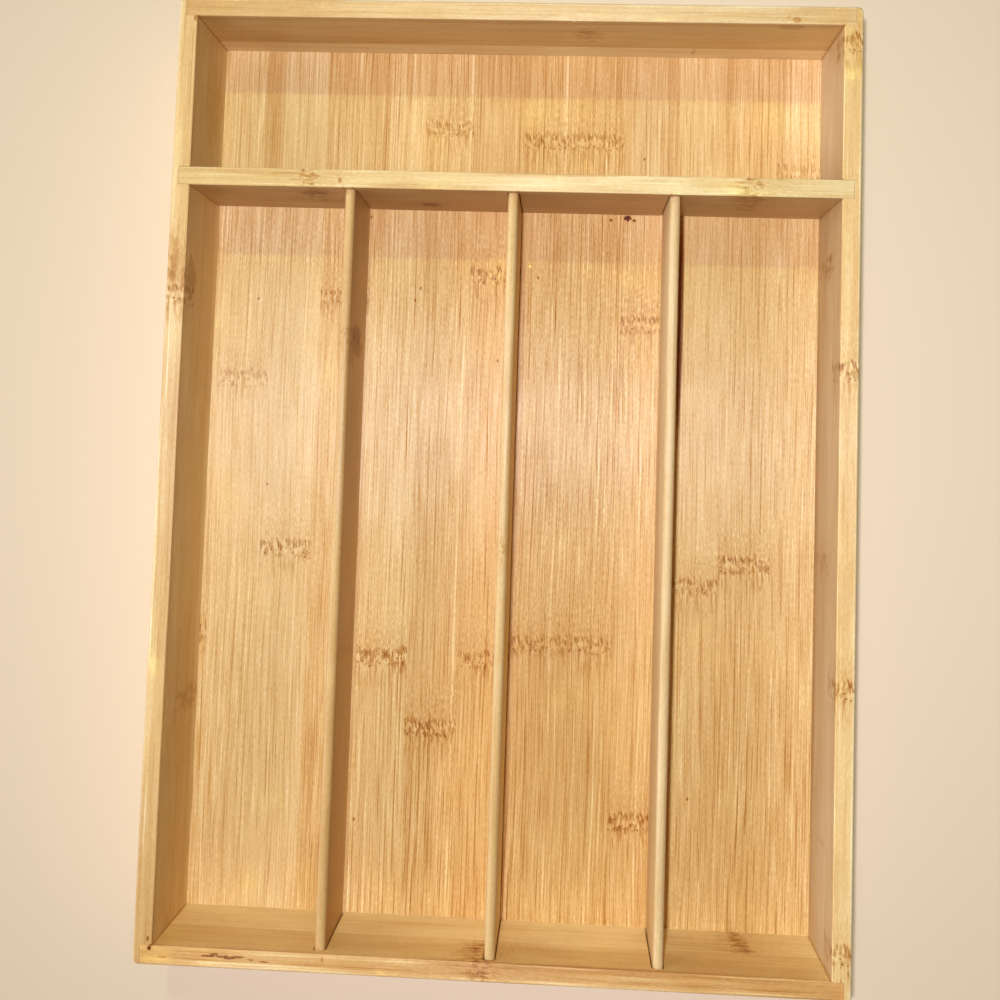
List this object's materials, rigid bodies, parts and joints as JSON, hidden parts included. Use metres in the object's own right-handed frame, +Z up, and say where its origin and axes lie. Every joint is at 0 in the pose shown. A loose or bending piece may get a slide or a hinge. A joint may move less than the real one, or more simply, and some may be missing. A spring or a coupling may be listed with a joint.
{
  "type": "cutlery tray",
  "caption": "Shallow open bamboo drawer tray with a crosswise compartment at the back and lengthwise compartments for cutlery in front of it.",
  "frame": {"origin": "centre of the footprint, on the surface that the tray stands on", "axes": "+X to the right across the tray, +Y to the back where the crosswise compartment is, +Z up"},
  "size_m": [0.26, 0.362, 0.05],
  "materials": {
    "wall_bamboo": "laminated bamboo board, satin clear lacquer, fine straight fibres and a few nodes",
    "divider_bamboo": "thin bamboo board with a rounded top, satin clear lacquer",
    "floor_bamboo": "bamboo panel of side-by-side strips about 20 mm wide, satin clear lacquer"
  },
  "bodies": {
    "root": {"left_side_wall": "wall_bamboo", "right_side_wall": "wall_bamboo", "back_wall": "wall_bamboo", "front_wall": "wall_bamboo", "cross_divider": "wall_bamboo", "left_divider": "divider_bamboo", "middle_divider": "divider_bamboo", "right_divider": "divider_bamboo", "floor_panel": "floor_bamboo"}
  },
  "joints": []
}
